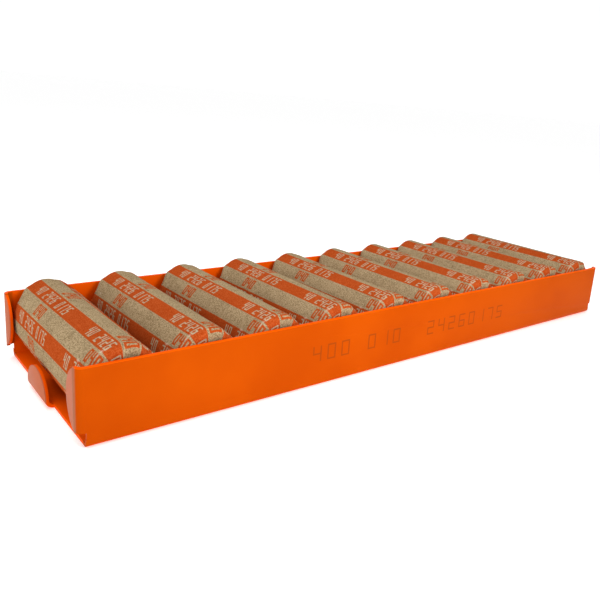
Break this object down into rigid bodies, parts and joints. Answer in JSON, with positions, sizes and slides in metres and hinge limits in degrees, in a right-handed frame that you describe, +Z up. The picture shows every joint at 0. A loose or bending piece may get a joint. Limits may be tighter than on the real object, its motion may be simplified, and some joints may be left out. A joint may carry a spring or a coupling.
{
  "type": "coin roll tray",
  "caption": "Shallow folded sheet-metal tray with end ears, holding a row of paper-wrapped coin rolls that lift out one by one.",
  "frame": {"origin": "middle of the tray, on the underside of its floor", "axes": "+X along the tray's length, +Y from the front wall (the one with the marking) to the back wall, +Z up"},
  "size_m": [0.27, 0.078, 0.0277],
  "materials": {
    "tray_paint": "satin",
    "wrapper_paper": "matte",
    "coin_metal": "satin"
  },
  "bodies": {
    "tray": {"tray": "tray_paint"},
    "roll_01": {"wrapper_01": "wrapper_paper", "coin_stack_01": "coin_metal"},
    "roll_02": {"wrapper_02": "wrapper_paper", "coin_stack_02": "coin_metal"},
    "roll_03": {"wrapper_03": "wrapper_paper", "coin_stack_03": "coin_metal"},
    "roll_04": {"wrapper_04": "wrapper_paper", "coin_stack_04": "coin_metal"},
    "roll_05": {"wrapper_05": "wrapper_paper", "coin_stack_05": "coin_metal"},
    "roll_06": {"wrapper_06": "wrapper_paper", "coin_stack_06": "coin_metal"},
    "roll_07": {"wrapper_07": "wrapper_paper", "coin_stack_07": "coin_metal"},
    "roll_08": {"wrapper_08": "wrapper_paper", "coin_stack_08": "coin_metal"},
    "roll_09": {"wrapper_09": "wrapper_paper", "coin_stack_09": "coin_metal"},
    "roll_10": {"wrapper_10": "wrapper_paper", "coin_stack_10": "coin_metal"}
  },
  "joints": [
    {"name": "lift_01", "type": "slide", "parent": "tray", "child": "roll_01", "axis": [0, 0, 1], "range_m": [0, 0.04]},
    {"name": "lift_02", "type": "slide", "parent": "tray", "child": "roll_02", "axis": [0, 0, 1], "range_m": [0, 0.04]},
    {"name": "lift_03", "type": "slide", "parent": "tray", "child": "roll_03", "axis": [0, 0, 1], "range_m": [0, 0.04]},
    {"name": "lift_04", "type": "slide", "parent": "tray", "child": "roll_04", "axis": [0, 0, 1], "range_m": [0, 0.04]},
    {"name": "lift_05", "type": "slide", "parent": "tray", "child": "roll_05", "axis": [0, 0, 1], "range_m": [0, 0.04]},
    {"name": "lift_06", "type": "slide", "parent": "tray", "child": "roll_06", "axis": [0, 0, 1], "range_m": [0, 0.04]},
    {"name": "lift_07", "type": "slide", "parent": "tray", "child": "roll_07", "axis": [0, 0, 1], "range_m": [0, 0.04]},
    {"name": "lift_08", "type": "slide", "parent": "tray", "child": "roll_08", "axis": [0, 0, 1], "range_m": [0, 0.04]},
    {"name": "lift_09", "type": "slide", "parent": "tray", "child": "roll_09", "axis": [0, 0, 1], "range_m": [0, 0.04]},
    {"name": "lift_10", "type": "slide", "parent": "tray", "child": "roll_10", "axis": [0, 0, 1], "range_m": [0, 0.04]}
  ]
}
